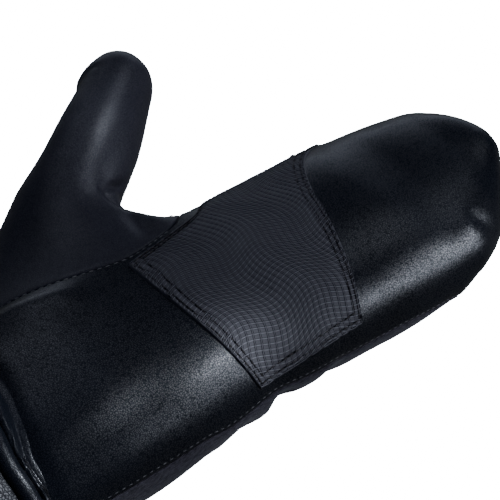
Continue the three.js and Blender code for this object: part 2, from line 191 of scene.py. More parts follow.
# Distance from the wrist, angle about the hand and angle about the thumb at a place on the seam
@lru_cache(maxsize=None)
def seamPoint(knot):
    first = math.floor(knot)
    t = knot - first

    def row(i):
        lap, place = divmod(i, seamKnots)
        return Vector((thumb["seamAlong"][place] * hand["crotch"], thumb["seamAround"][place],
                       thumb["seamTurn"][place] + 360 * lap))
    a, b, c, d = (row(first + i) for i in (-1, 0, 1, 2))
    spot = 0.5 * (2 * b + (c - a) * t + (2 * a - 5 * b + 4 * c - d) * t * t
                  + (3 * b - a - 3 * c + d) * t ** 3)
    return tuple(spot)


def tubePoint(reach, turn):
    past = clamp((reach - thumb["length"] + thumb["tipRound"]) / thumb["tipRound"])
    radius = thumb["radius"] * thumbTaper(reach / thumb["length"]) * math.sqrt(1 - past * past)
    angle = math.radians(turn)
    return (thumbRoot + thumbAxis * reach
            + (thumbSide * math.cos(angle) + thumbUp * math.sin(angle)) * radius)


@lru_cache(maxsize=None)
def webLine(knot):
    along, around, turn = seamPoint(knot)
    start = skinPoint(along, around)
    ahead, behind = seamPoint(knot + 0.4), seamPoint(knot - 0.4)
    run = skinPoint(ahead[0], ahead[1]) - skinPoint(behind[0], behind[1])
    inward = skinNormal(along, around).cross(run).normalized()
    if inward.dot(skinPoint(hand["crotch"] / 2, 180) - start) < 0:
        inward.negate()
    end = tubePoint(0, turn)
    reach = (end - start).length
    straight = (end - start).normalized()
    leave = inward.lerp(straight, thumb["wristAim"] * (1 - clamp(along / hand["crotch"])))
    return (start, start + leave.normalized() * thumb["rootPull"] * reach,
            end - thumbAxis * thumb["tubePull"] * reach, end, turn)


# A point of the thumb: reach is 0 to 1 through the web, then 1 to 2 along the tube
def thumbPoint(knot, reach):
    start, leave, arrive, end, turn = webLine(round(knot, 4))
    if reach >= 1:
        return tubePoint((reach - 1) * thumb["length"], turn)
    rest = 1 - reach
    return (start * rest ** 3 + leave * 3 * rest * rest * reach
            + arrive * 3 * rest * reach * reach + end * reach ** 3)


# Soft folds and swellings of the padded skin. A path is given on the hand as distance and angle,
# or on the thumb as seam knot and reach; width is where a fold has faded, height is its rise.
handFolds = [
    {"path": [(2.5, 150), (2.5, 95), (2, 55), (1.5, 17)], "width": 7, "height": -1.8},
    {"path": [(20, 128), (38, 112)], "width": 9, "height": 1.1},
    {"path": [(79, 10), (76, 34)], "width": 9, "height": -0.7},
    {"path": [(94, 26), (98, 24)], "width": 12, "height": 0.5},
    {"path": [(192, 20), (186, 40)], "width": 5, "height": -0.8},
    {"path": [(176, 26), (180, 40)], "width": 10, "height": 0.6},
    {"path": [(45, 335), (85, 335), (128, 337)], "width": 16, "height": -1.3},
    {"path": [(83, 350), (88, 322)], "width": 9, "height": -2.6},
    {"path": [(108, 350), (104, 322)], "width": 7, "height": -1.6},
]
thumbFolds = [
    {"path": [(10.6, 0.02), (10.2, 0.45)], "width": 6, "height": -1.6},
    {"path": [(4.2, 0.80), (3.2, 0.90), (2.2, 1.0), (1.2, 1.06)], "width": 2.6, "height": -1.8},
    {"path": [(4.2, 0.78), (3.8, 0.69), (3.4, 0.60), (2.6, 0.54)], "width": 2.6, "height": -1.7},
    {"path": [(3.1, 0.80), (2.4, 0.80)], "width": 4.5, "height": 1.0},
    {"path": [(12.5, 0.45), (12.5, 0.85)], "width": 22, "height": 1.3},
    {"path": [(5.5, 1.24), (5.4, 1.30)], "width": 24, "height": 1.6},
    {"path": [(5.2, 0.95), (5.0, 1.0)], "width": 14, "height": 0.3},
    {"path": [(14.6, 0.62), (14.2, 0.66)], "width": 14, "height": 0.8},
    {"path": [(4.25, 0.36), (4.75, 0.12)], "width": 5, "height": -1.0},
    {"path": [(3.4, 0.34), (3.9, 0.12)], "width": 6, "height": 0.7},
    {"path": [(9.6, 1.86), (7.5, 1.95), (4.0, 1.95)], "width": 9, "height": -0.7},
    {"path": [(10.6, 1.67), (9.0, 1.70), (7.6, 1.74)], "width": 2.2, "height": -0.8},
]
# Swells and hollows of the outline, each with a rise at every point of its path
handSwells = [
    {"path": [(20, 339), (38, 339), (48, 339), (55, 339), (61, 339), (67, 339), (73, 339), (78, 339),
              (85, 339), (89, 339), (94, 339), (102, 339), (125, 339), (136, 339), (150, 340),
              (166, 340), (171, 340), (178, 342), (182, 344), (188, 351), (195, 354)],
     "rise": [1.1, 0.6, -0.1, 0.3, -0.5, -1.6, 0.2, 0.7,
              -1.0, -1.1, -0.3, 0, 0.4, 1.1, 1.5,
              1.5, 1.9, 0.4, -0.7, -0.9, -0.5], "width": 10},
    {"path": [(104, 144), (109, 144), (113, 144), (118, 146), (126, 146), (137, 147), (150, 146),
              (160, 146), (168, 146), (173, 148), (190, 150), (200, 149), (213, 146), (219, 139),
              (222, 130), (223.5, 114), (224, 95), (224, 60), (223, 44)],
     "rise": [-3.0, -3.0, -2.3, -1.8, -1.5, -1.1, -0.8,
              -0.4, 0, 0.4, -0.1, -0.5, -0.5, -1.0,
              -0.7, 0.1, 0.9, 1.3, 1.6], "width": 12},
]
thumbSwells = [
    {"path": [(10.5, 0.86), (10.5, 1.0), (10.5, 1.15), (10.5, 1.3), (10.5, 1.45), (10.5, 1.6),
              (10.4, 1.66), (10.4, 1.70), (10.2, 1.80)],
     "rise": [-0.2, -1.8, -2.6, -2.9, -3.1, -2.9, -2.6, -1.0, -0.9], "width": 14},
    {"path": [(20.75, 1.84), (20.75, 1.5), (20.6, 1.3), (20.5, 1.2), (20.5, 1.1), (20.5, 1.0),
              (21.2, 0.85)],
     "rise": [-0.2, -0.5, -0.8, -1.6, -2.7, -2.5, -1.8], "width": 10},
    {"path": [(24, 0.68), (24.1, 0.5), (24.25, 0.3), (24.2, 0.16), (24.05, 0.03)],
     "rise": [-2.4, -1.5, -1.5, -1.9, -2.4], "width": 8},
]
foldPaths = [([skinPoint(*spot) for spot in fold["path"]], fold["width"], fold["height"])
             for fold in handFolds]
foldPaths += [([thumbPoint(*spot) for spot in fold["path"]], fold["width"], fold["height"])
              for fold in thumbFolds]
swellPaths = [([skinPoint(*spot) for spot in swell["path"]], swell["width"], swell["rise"])
              for swell in handSwells]
swellPaths += [([thumbPoint(*spot) for spot in swell["path"]], swell["width"], swell["rise"])
               for swell in thumbSwells]


# Distance of each spot from a path, and how far along the path its nearest place is
def pathDistance(spots, path):
    best = np.full(len(spots), 1e9)
    share = np.zeros(len(spots))
    pairs = list(zip(path, path[1:])) or [(path[0], path[0])]
    for i, (a, b) in enumerate(pairs):
        start = np.array(a)
        run = np.array(b) - start
        t = np.clip((spots - start) @ run / max(run @ run, 1e-9), 0, 1)
        gap = np.linalg.norm(spots - start - t[:, None] * run, axis=1)
        nearer = gap < best
        best = np.where(nearer, gap, best)
        share = np.where(nearer, (i + t) / len(pairs), share)
    return best, share


# Rise of the padded skin at each spot: folds, swells and slow lumps
def reliefAt(spots, lump, folded=True):
    spots = np.array(spots)
    height = np.zeros(len(spots))
    for path, width, rise in foldPaths if folded else []:
        gap, share = pathDistance(spots, path)
        length = sum((b - a).length for a, b in zip(path, path[1:]))
        ends = mix(1, np.sin(np.pi * (0.12 + 0.76 * share)), clamp(length / width / 3 - 0.5))
        height += rise * np.exp(-(gap / width * 1.5) ** 2) * ends
    for path, width, rises in swellPaths if folded else []:
        gap, share = pathDistance(spots, path)
        rise = np.interp(share * (len(path) - 1), range(len(path)), rises)
        height += rise * np.exp(-(gap / width * 1.5) ** 2)
    waves = [noise.noise(Vector(spot) / 27) + noise.noise(Vector(spot) / 11) * 0.25 for spot in spots]
    return height + np.array(waves) * lump


def addRelief(mesh, lump, folded=True):
    mesh.normal_update()
    rises = reliefAt([vert.co for vert in mesh.verts], lump, folded)
    for vert, rise in zip(mesh.verts, rises):
        vert.co += vert.normal * rise


# Panel edges turn down into their seams
def turnEdges(mesh, depth, reach):
    rim = [edge for edge in mesh.edges if edge.is_boundary]
    tree = KDTree(len(rim) * 3)
    for i, edge in enumerate(rim):
        a, b = (vert.co for vert in edge.verts)
        for j in range(3):
            tree.insert(a.lerp(b, j / 3), 3 * i + j)
    tree.balance()
    mesh.normal_update()
    moves = []
    for vert in mesh.verts:
        gap = tree.find(vert.co)[2]
        if gap < reach:
            moves.append((vert, vert.normal * depth * (1 - gap / reach) ** 2.2))
    for vert, move in moves:
        vert.co -= move


# Grid whose points are put on a surface by their shares across and along
def skinGrid(columns, rows, place, outward):
    mesh = bmesh.new()
    mesh.loops.layers.uv.new("skin")
    bmesh.ops.create_grid(mesh, x_segments=columns, y_segments=rows, size=0.5, calc_uvs=True)
    for vert in mesh.verts:
        vert.co = place(clamp(vert.co.x + 0.5), clamp(vert.co.y + 0.5))
    bmesh.ops.remove_doubles(mesh, verts=mesh.verts, dist=0.01)
    bmesh.ops.dissolve_degenerate(mesh, edges=mesh.edges, dist=0.005)
    mesh.normal_update()
    mesh.faces.ensure_lookup_table()
    face = max(mesh.faces, key=lambda item: item.calc_area())
    if face.normal.dot(outward(face.calc_center_median())) < 0:
        bmesh.ops.reverse_faces(mesh, faces=mesh.faces)
    return mesh


def finishPiece(mesh, name, materials, node=None, wall=0.0):
    bmesh.ops.transform(mesh, matrix=toFrame, verts=mesh.verts)
    data = bpy.data.meshes.new(name)
    mesh.to_mesh(data)
    mesh.free()
    piece = bpy.data.objects.new(name, data)
    bpy.context.scene.collection.objects.link(piece)
    for material in materials:
        data.materials.append(material)
    data.shade_smooth()
    if wall:
        solid = piece.modifiers.new("wall", "SOLIDIFY")
        solid.thickness = wall * 0.001
        solid.offset = -1
        solid.material_offset = len(materials) - 1
        solid.material_offset_rim = 0
    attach(piece, "root")
    if node:
        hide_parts(node)
    return piece


# Shares that crowd towards both ends, where the seams need finer steps
def crowded(share, pull=0.6):
    return mix(share, 0.5 - 0.5 * math.cos(math.pi * share), pull)


def fromAxis(point):
    return point - Vector((0, point.y, hand["seamLift"]))


def fromThumb(point):
    reach = clamp((point - thumbRoot).dot(thumbAxis), 0, thumb["length"])
    return point - thumbRoot - thumbAxis * reach


# Materials
def newGroup(name, inputs, outputs):
    group = bpy.data.node_groups.new(name, "ShaderNodeTree")
    for label, kind, value in inputs:
        socket = group.interface.new_socket(label, in_out="INPUT", socket_type=kind)
        if value is not None:
            socket.default_value = value
    for label, kind in outputs:
        group.interface.new_socket(label, in_out="OUTPUT", socket_type=kind)
    return group


def addNode(tree, kind, inputs=None, **settings):
    node = tree.nodes.new(kind)
    for name, value in settings.items():
        setattr(node, name, value)
    for name, value in (inputs or {}).items():
        if isinstance(value, bpy.types.NodeSocket):
            tree.links.new(value, node.inputs[name])
        else:
            node.inputs[name].default_value = value
    return node


def mathNode(tree, operation, first, second, clampIt=False):
    return addNode(tree, "ShaderNodeMath", {0: first, 1: second},
                   operation=operation, use_clamp=clampIt).outputs[0]


def mixNode(tree, factor, first, second):
    return addNode(tree, "ShaderNodeMix", {0: factor, 6: first, 7: second},
                   data_type="RGBA").outputs[2]


# Pebbled leather grain: small domes parted by fine creases, with drawn-out wrinkles over them
def leatherGrainGroup():
    scalar = "NodeSocketFloat"
    group = newGroup("leatherGrain",
                     [("Vector", "NodeSocketVector", None), ("Pebble", scalar, 900.0),
                      ("Wrinkle", scalar, 0.5)],
                     [("Height", scalar), ("Creases", scalar)])
    start = addNode(group, "NodeGroupInput").outputs
    drift = addNode(group, "ShaderNodeTexNoise",
                    {"Vector": start["Vector"], "Scale": 700.0, "Detail": 2.0})
    moved = addNode(group, "ShaderNodeVectorMath",
                    {0: drift.outputs["Color"], 1: (0.0009, 0.0009, 0.0009)}, operation="MULTIPLY")
    warped = addNode(group, "ShaderNodeVectorMath",
                     {0: start["Vector"], 1: moved.outputs[0]}, operation="ADD")
    cells = addNode(group, "ShaderNodeTexVoronoi",
                    {"Vector": warped.outputs[0], "Scale": start["Pebble"]},
                    feature="DISTANCE_TO_EDGE")
    domes = addNode(group, "ShaderNodeMapRange",
                    {"Value": cells.outputs["Distance"], "From Min": 0.0, "From Max": 0.28},
                    interpolation_type="SMOOTHSTEP")
    drawn = addNode(group, "ShaderNodeMapping",
                    {"Vector": warped.outputs[0], "Rotation": (0.0, 0.0, 0.7),
                     "Scale": (1.0, 0.3, 1.0)})
    wrinkles = addNode(group, "ShaderNodeTexNoise",
                       {"Vector": drawn.outputs[0], "Scale": 1500.0, "Detail": 1.0})
    ridge = mathNode(group, "MULTIPLY", wrinkles.outputs[0], start["Wrinkle"])
    height = mathNode(group, "ADD", domes.outputs[0], ridge)
    end = addNode(group, "NodeGroupOutput")
    group.links.new(height, end.inputs["Height"])
    group.links.new(domes.outputs[0], end.inputs["Creases"])
    return group


# Slow uneven patches that every finish uses for its tint and its gloss
def mottleGroup():
    scalar = "NodeSocketFloat"
    group = newGroup("mottle",
                     [("Vector", "NodeSocketVector", None), ("Scale", scalar, 40.0),
                      ("Low", scalar, 0.0), ("High", scalar, 1.0)],
                     [("Value", scalar)])
    start = addNode(group, "NodeGroupInput").outputs
    slow = addNode(group, "ShaderNodeTexNoise",
                   {"Vector": start["Vector"], "Scale": start["Scale"], "Detail": 3.0,
                    "Roughness": 0.55})
    spread = addNode(group, "ShaderNodeMapRange",
                     {"Value": slow.outputs[0], "From Min": 0.3, "From Max": 0.7,
                      "To Min": start["Low"], "To Max": start["High"]})
    end = addNode(group, "NodeGroupOutput")
    group.links.new(spread.outputs[0], end.inputs["Value"])
    return group


# Knitted cloth of dark and pale fibres
def meltonGroup():
    scalar = "NodeSocketFloat"
    group = newGroup("meltonFibre",
                     [("Vector", "NodeSocketVector", None), ("Fibre", scalar, 1400.0)],
                     [("Height", scalar), ("Flecks", scalar)])
    start = addNode(group, "NodeGroupInput").outputs
    stretched = addNode(group, "ShaderNodeMapping",
                        {"Vector": start["Vector"], "Scale": (1.0, 0.35, 1.0)})
    fibres = addNode(group, "ShaderNodeTexNoise",
                     {"Vector": stretched.outputs[0], "Scale": start["Fibre"], "Detail": 3.0,
                      "Roughness": 0.7})
    loops = addNode(group, "ShaderNodeTexVoronoi",
                    {"Vector": start["Vector"], "Scale": start["Fibre"]})
    flecks = addNode(group, "ShaderNodeMapRange",
                     {"Value": fibres.outputs[0], "From Min": 0.38, "From Max": 0.66})
    height = mathNode(group, "ADD", mathNode(group, "MULTIPLY", fibres.outputs[0], 1.2),
                      mathNode(group, "MULTIPLY", loops.outputs["Distance"], 0.6))
    end = addNode(group, "NodeGroupOutput")
    group.links.new(height, end.inputs["Height"])
    group.links.new(flecks.outputs[0], end.inputs["Flecks"])
    return group


leatherGrain = leatherGrainGroup()
mottle = mottleGroup()
meltonFibre = meltonGroup()


def useGroup(tree, group, inputs):
    node = tree.nodes.new("ShaderNodeGroup")
    node.node_tree = group
    for name, value in inputs.items():
        if isinstance(value, bpy.types.NodeSocket):
            tree.links.new(value, node.inputs[name])
        else:
            node.inputs[name].default_value = value
    return node.outputs


def startMaterial(name):
    material = bpy.data.materials.new(name)
    material.use_nodes = True
    tree = material.node_tree
    shader = tree.nodes["Principled BSDF"]
    coords = addNode(tree, "ShaderNodeTexCoord").outputs["Object"]
    return material, tree, shader, coords


def bumpInto(tree, shader, height, strength, distance):
    bump = addNode(tree, "ShaderNodeBump",
                   {"Height": height, "Strength": strength, "Distance": distance})
    tree.links.new(bump.outputs[0], shader.inputs["Normal"])


leatherLook = {
    "deep": (0.0046, 0.006, 0.0098, 1), "worn": (0.0076, 0.0096, 0.0147, 1),
    "glossLow": 0.28, "glossHigh": 0.34, "pebble": 1450.0, "wrinkle": 0.7,
    "bump": 0.4, "depth": 0.00005, "crease": 0.10, "crest": 0.85,
}


def leatherMaterial(name, look):
    material, tree, shader, coords = startMaterial(name)
    grain = useGroup(tree, leatherGrain, {"Vector": coords, "Pebble": look["pebble"],
                                          "Wrinkle": look["wrinkle"]})
    patches = useGroup(tree, mottle, {"Vector": coords, "Scale": 55.0})
    tree.links.new(mixNode(tree, patches["Value"], look["deep"], look["worn"]),
                   shader.inputs["Base Color"])
    gloss = useGroup(tree, mottle, {"Vector": coords, "Scale": 130.0, "Low": look["glossLow"],
                                    "High": look["glossHigh"]})
    tree.links.new(gloss["Value"], shader.inputs["Roughness"])
    shine = addNode(tree, "ShaderNodeMapRange",
                    {"Value": grain["Creases"], "To Min": look["crease"], "To Max": look["crest"]})
    tree.links.new(shine.outputs[0], shader.inputs["Specular IOR Level"])
    bumpInto(tree, shader, grain["Height"], look["bump"], look["depth"])
    return material


fabricLook = {
    "dark": (0.028, 0.025, 0.033, 1), "pale": (0.095, 0.088, 0.108, 1), "fibre": 1500.0,
    "bump": 0.8, "depth": 0.0003,
}


def fabricMaterial(name, look):
    material, tree, shader, coords = startMaterial(name)
    fibre = useGroup(tree, meltonFibre, {"Vector": coords, "Fibre": look["fibre"]})
    tree.links.new(mixNode(tree, fibre["Flecks"], look["dark"], look["pale"]),
                   shader.inputs["Base Color"])
    dull = useGroup(tree, mottle, {"Vector": coords, "Scale": 90.0, "Low": 0.85, "High": 0.97})
    tree.links.new(dull["Value"], shader.inputs["Roughness"])
    shader.inputs["Specular IOR Level"].default_value = 0.2
    shader.inputs["Sheen Weight"].default_value = 0.25
    shader.inputs["Sheen Roughness"].default_value = 0.5
    bumpInto(tree, shader, fibre["Height"], look["bump"], look["depth"])
    return material


gripLook = {
    "dark": (0.09, 0.087, 0.099, 1), "pale": (0.115, 0.112, 0.126, 1), "specular": 0.5,
    "bump": 0.35, "depth": 0.0001,
}


def gripMaterial(name, look):
    material, tree, shader, coords = startMaterial(name)
    patches = useGroup(tree, mottle, {"Vector": coords, "Scale": 160.0})
    tree.links.new(mixNode(tree, patches["Value"], look["dark"], look["pale"]),
                   shader.inputs["Base Color"])
    gloss = useGroup(tree, mottle, {"Vector": coords, "Scale": 300.0, "Low": 0.5, "High": 0.62})
    tree.links.new(gloss["Value"], shader.inputs["Roughness"])
    shader.inputs["Specular IOR Level"].default_value = look["specular"]
    grain = useGroup(tree, leatherGrain, {"Vector": coords, "Pebble": 2400.0, "Wrinkle": 0.2})
    bumpInto(tree, shader, grain["Height"], look["bump"], look["depth"])
    return material


def threadMaterial(name, dark, pale):
    material, tree, shader, coords = startMaterial(name)
    patches = useGroup(tree, mottle, {"Vector": coords, "Scale": 900.0})
    tree.links.new(mixNode(tree, patches["Value"], dark, pale), shader.inputs["Base Color"])
    twist = addNode(tree, "ShaderNodeTexWave", {"Vector": coords, "Scale": 900.0,
                                                "Distortion": 3.0})
    shine = useGroup(tree, mottle, {"Vector": coords, "Scale": 600.0, "Low": 0.45, "High": 0.65})
    tree.links.new(shine["Value"], shader.inputs["Roughness"])
    bumpInto(tree, shader, twist.outputs["Fac"], 0.5, 0.0001)
    return material


leather = leatherMaterial("leather", leatherLook)
# A paler copy of the palm leather for the thumb: its lighter tint is painted light that brightens the
# thumb.
paintedLightThumbLeather = leatherMaterial("paintedLightThumbLeather", leatherLook | {
    "deep": (0.024, 0.0233, 0.033, 1), "worn": (0.034, 0.033, 0.045, 1),
    "crease": 0.22, "crest": 0.7, "bump": 0.35, "glossLow": 0.38, "glossHigh": 0.46})
cuffLeather = leatherMaterial("cuffLeather", leatherLook | {"pebble": 850.0, "glossLow": 0.4,
                                                            "glossHigh": 0.5, "bump": 0.7})
fabric = fabricMaterial("fabric", fabricLook)
lining = fabricMaterial("lining", fabricLook | {"dark": (0.012, 0.012, 0.015, 1),
                                                "pale": (0.035, 0.035, 0.04, 1)})
# Ridges of the lattice with a painted highlight, paler and shinier between its crossings: the cell map
# runs 0 to 1 across each cell
def ridgeHighlightMaterial(name, look):
    material = gripMaterial(name, look)
    tree = material.node_tree
    shader = tree.nodes["Principled BSDF"]
    cell = addNode(tree, "ShaderNodeUVMap", uv_map="cell").outputs[0]
    offset = addNode(tree, "ShaderNodeVectorMath", {0: cell, 1: (0.5, 0.5, 0)},
                     operation="SUBTRACT").outputs[0]
    parts = addNode(tree, "ShaderNodeSeparateXYZ", {"Vector": offset})
    near = mathNode(tree, "MINIMUM", mathNode(tree, "ABSOLUTE", parts.outputs["X"], 0.0),
                    mathNode(tree, "ABSOLUTE", parts.outputs["Y"], 0.0))
    highlightDash = addNode(tree, "ShaderNodeMapRange",
                   {"Value": near, "From Min": 0.22, "From Max": 0.38, "To Min": 1.0, "To Max": 0.0})
    tint = mixNode(tree, highlightDash.outputs[0], gripLook["pale"], look["pale"])
    tree.links.new(tint, shader.inputs["Base Color"])
    shine = addNode(tree, "ShaderNodeMapRange",
                    {"Value": highlightDash.outputs[0], "To Min": gripLook["specular"],
                     "To Max": look["specular"]})
    tree.links.new(shine.outputs[0], shader.inputs["Specular IOR Level"])
    return material


grip = gripMaterial("grip", gripLook)
# A near-black copy of the grip rubber: painted shade for the lattice's grooves and walls and for the
# stitch furrows.
gripGroovePaintedShade = gripMaterial("gripGroovePaintedShade", gripLook | {"dark": (0.004, 0.004, 0.006, 1),
                                                    "pale": (0.006, 0.006, 0.008, 1),
                                                    "specular": 0.08})
gripRidgeHighlight = ridgeHighlightMaterial("gripRidgeHighlight", gripLook | {"pale": (0.21, 0.21, 0.235, 1),
                                                   "specular": 0.8})
binding = fabricMaterial("binding", fabricLook | {"dark": (0.008, 0.008, 0.01, 1),
                                                  "pale": (0.022, 0.022, 0.026, 1),
                                                  "fibre": 2200.0})
darkThread = threadMaterial("darkThread", (0.016, 0.011, 0.010, 1), (0.036, 0.026, 0.025, 1))
paleThread = threadMaterial("paleThread", (0.18, 0.18, 0.19, 1), (0.4, 0.39, 0.38, 1))
print("materials made")

# Palm, back and fingertip cap
panels = {
    "seamTurnIn": 0.45, "seamReach": 1.1, "lump": 0.25, "seamOffset": 0.06,
    "palmColumns": 96, "palmRows": 170, "backColumns": 80, "backRows": 120,
    "capRows": 44, "palmSplit": 0.47, "backSplit": 0.60,
}


# Distance from the wrist at a share of the finger part, crowding where the tip closes
def fingerAlong(share, first, roundFrom=0.56):
    roundStart = hand["length"] - hand["tipRound"]
    if first >= roundStart or share > roundFrom:
        begin = math.asin(clamp((first - roundStart) / hand["tipRound"]))
        part = share if first >= roundStart else (share - roundFrom) / (1 - roundFrom)
        return roundStart + hand["tipRound"] * math.sin(mix(begin, math.pi / 2, part))
    return mix(first, roundStart, share / roundFrom)


# The pinky seam lies a little over the palm at the wrist and slips underneath by the fingertips
pinkySeam = smoothCurve((0, 45, 58, 76, 90, 113, 137, 165, 171, 200),
                        (5, 4.5, 1.5, 4, 2, -1, -5, -15, -19, -26))


def palmPlace(across, down):
    share = crowded(across)
    split = panels["palmSplit"]
    if down <= split:
        knot = thumb["palmCorner"] * (1 - down / split)
        along, around, _ = seamPoint(round(knot, 4))
        pinkyAlong = mix(0.25, hand["crotch"] + hand["rowSlant"], down / split)
    else:
        along = fingerAlong((down - split) / (1 - split), hand["crotch"])
        around = 180
        left = 1 - (along - hand["crotch"]) / (hand["length"] - hand["crotch"])
        pinkyAlong = along + hand["rowSlant"] * left
    return skinPoint(mix(pinkyAlong, along, share), mix(pinkySeam(pinkyAlong), around, share))


def backPlace(across, down):
    share = crowded(across)
    split = panels["backSplit"]
    if down <= split:
        knot = mix(thumb["backCorner"], seamKnots, down / split)
        along, around, _ = seamPoint(round(knot, 4))
        pinkyAlong = mix(0.25, hand["crotch"] + hand["rowSlant"], down / split)
    else:
        part = (down - split) / (1 - split)
        along = mix(hand["crotch"], hand["cap"] - 0.1, part)
        around = 180
        pinkyAlong = along + hand["rowSlant"] * (1 - part)
    spot = skinPoint(mix(pinkyAlong, along, share), mix(360 + pinkySeam(pinkyAlong), around, share))
    spot.z = max(spot.z, 0.0)
    return spot


def capPlace(across, down):
    along = mix(hand["cap"] + 0.1, hand["length"] - hand["tipRound"], down * 4)
    if down > 0.25:
        along = fingerAlong((down - 0.25) / 0.75, hand["length"] - hand["tipRound"])
    spot = skinPoint(along, mix(360 + pinkySeam(along), 180, crowded(across)))
    spot.z = max(spot.z, 0.0)
    return spot


def keepAboveFloor(mesh):
    for vert in mesh.verts:
        vert.co.z = max(vert.co.z, 0.0)


def handPanel(name, columns, rows, place, material, node, side):
    mesh = skinGrid(columns, rows, place, fromAxis)
    addRelief(mesh, panels["lump"])
    turnEdges(mesh, panels["seamTurnIn"], panels["seamReach"])
    bmesh.ops.translate(mesh, verts=mesh.verts, vec=(0, 0, side * panels["seamOffset"]))
    keepAboveFloor(mesh)
    return finishPiece(mesh, name, [material, lining], node, hand["wall"])


handPanel("palmPanel", panels["palmColumns"], panels["palmRows"], palmPlace, leather,
          "palm_panel", 1)
handPanel("backPanel", panels["backColumns"], panels["backRows"], backPlace, fabric,
          "back_panel", -1)
handPanel("fingertipCap", panels["backColumns"], panels["capRows"], capPlace, leather,
          "fingertip_cap", -1)
print("hand panels made")

# Thumb panels: front wraps from the web over the palm side to the outer seam
thumbPanels = {
    "frontColumns": 120, "backColumns": 64, "webRows": 40, "tubeRows": 46, "tipRows": 24,
    "seamTurnIn": 0.6, "seamReach": 1.6,
}
tipSeamReach = 1 + thumb["tipSeam"] / thumb["length"]


# Reach along the thumb at a share of its rows, crowding towards the rounded tip
def tubeReach(share, first):
    roundStart = 1 - thumb["tipRound"] / thumb["length"]
    straight = (roundStart - first) / (1.3 - first)
    if share < straight:
        return 1 + mix(first, roundStart, share / straight)
    part = (share - straight) / (1 - straight)
    return 1 + roundStart + (1 - roundStart) * math.sin(part * math.pi / 2)


def thumbFrontPlace(across, down):
    knot = mix(thumb["webSeam"], seamKnots + thumb["outerSeam"], crowded(across, 0.35))
    web = thumbPanels["webRows"] / (thumbPanels["webRows"] + thumbPanels["tubeRows"])
    reach = down / web if down <= web else tubeReach((down - web) / (1 - web), 0)
    return thumbPoint(knot, reach)


def thumbBackPlace(across, down):
    knot = mix(thumb["outerSeam"], thumb["webSeam"], crowded(across, 0.35))
    reach = down * 2 if down <= 0.5 else mix(1, tipSeamReach - 0.002, (down - 0.5) * 2)
    spot = thumbPoint(knot, reach)
    spot.z = max(spot.z, 0.0)
    return spot


def thumbTipPlace(across, down):
    knot = mix(thumb["outerSeam"], thumb["webSeam"], crowded(across, 0.35))
    return thumbPoint(knot, tubeReach(down, tipSeamReach - 0.998))


def thumbPanel(name, columns, rows, place, material, node, side):
    mesh = skinGrid(columns, rows, place, fromThumb)
    addRelief(mesh, panels["lump"])
    turnEdges(mesh, thumbPanels["seamTurnIn"], thumbPanels["seamReach"])
    bmesh.ops.translate(mesh, verts=mesh.verts, vec=thumbUp * side * panels["seamOffset"])
    keepAboveFloor(mesh)
    return finishPiece(mesh, name, [material, lining], node, hand["wall"])


thumbPanel("thumbFront", thumbPanels["frontColumns"],
           thumbPanels["webRows"] + thumbPanels["tubeRows"], thumbFrontPlace, paintedLightThumbLeather,
           "thumb_front", 1)
thumbPanel("thumbBack", thumbPanels["backColumns"], 60, thumbBackPlace, fabric,
           "thumb_back", -1)
thumbPanel("thumbTip", thumbPanels["backColumns"], thumbPanels["tipRows"], thumbTipPlace, paintedLightThumbLeather,
           "thumb_tip", -1)
print("thumb made")

# Wrist bands, cuff and hem
bands = {
    "gatherColumns": 420, "gatherRows": 22, "rollColumns": 180, "rollRows": 14,
    "cuffColumns": 90, "cuffRows": 40, "hemRows": 12, "pucker": 0.3, "strand": 0.6,
    "slant": 50, "tuck": 1.2, "sink": 1.0,  # tuck and sink hide each end under its neighbour
}


def bandPlace(first, last, proud, under=0.0):
    start = first + bands["tuck"]
    end = last - bands["tuck"]

    def place(across, down):
        along = mix(start + under, end, down)
        around = 360 * (across % 1)
        share = clamp((start - along) / (start - end))
        sunk = bands["sink"] * (1 - math.sin(math.pi * share)) ** 3
        normal = skinNormal(along, around)
        normal.y = 0
        spot = skinPoint(along, around) + normal.normalized() * (proud(around, share) - sunk)
        spot.z = max(spot.z, 0.0)
        return spot
    return place


def gatherProud(around, down):
    turn = math.radians(around)
    ring = Vector((math.cos(turn), math.sin(turn), 0))
    pucker = noise.noise(ring * 9 + Vector((0, 0, down * 2.5))) * bands["pucker"]
    turns = down * 5 + around / 360 * bands["slant"]
    strand = noise.noise(ring * 9 + Vector((0, 7, turns))) * bands["strand"]
    body = math.sin(math.pi * down)
    return cuff["gatherProud"] * body + (pucker + strand) * body ** 0.5


def rollProud(around, down):
    return cuff["rollProud"] * math.sin(math.pi * down) ** 0.8


def hemProud(around, down):
    return cuff["hemProud"] * math.sin(math.pi * down) ** 0.35


def band(name, columns, rows, place, material, node, wall, turnIn=0.0):
    mesh = skinGrid(columns, rows, place, fromAxis)
    if turnIn:
        turnEdges(mesh, turnIn, 2.0)
    keepAboveFloor(mesh)
    return finishPiece(mesh, name, [material, lining], node, wall)


band("wristGather", bands["gatherColumns"], bands["gatherRows"],
     bandPlace(-0.15, -cuff["gather"] + 0.1, gatherProud, 4), leather,
     "wrist_gather", hand["wall"], 0.4)
band("wristRoll", bands["rollColumns"], bands["rollRows"],
     bandPlace(-cuff["gather"] - 0.1, -wristBand + 0.1, rollProud), leather,
     "wrist_roll", cuff["wall"])
band("cuffHem", bands["rollColumns"], bands["hemRows"],
     bandPlace(-cuffEnd - 0.1, bands["tuck"] - mouthEnd, hemProud), binding,
     "cuff_hem", cuff["wall"])


def cuffPanel(name, first, last, material, node):
    def place(across, down):
        along = mix(-wristBand + bands["tuck"], -cuffEnd - bands["tuck"], down)
        spot = skinPoint(along, mix(first - 1.5, last + 1.5, crowded(across)))
        spot.z = max(spot.z, 0.0)
        return spot
    mesh = skinGrid(bands["cuffColumns"], bands["cuffRows"], place, fromAxis)
    addRelief(mesh, panels["lump"], False)
    turnEdges(mesh, 1.0, 3.0)
    keepAboveFloor(mesh)
    return finishPiece(mesh, name, [material, lining], node, cuff["wall"])


cuffPanel("cuffPalm", 0, 180, cuffLeather, "cuff_palm")
cuffPanel("cuffBack", 180, 360, fabric, "cuff_back")
print("wrist and cuff made")

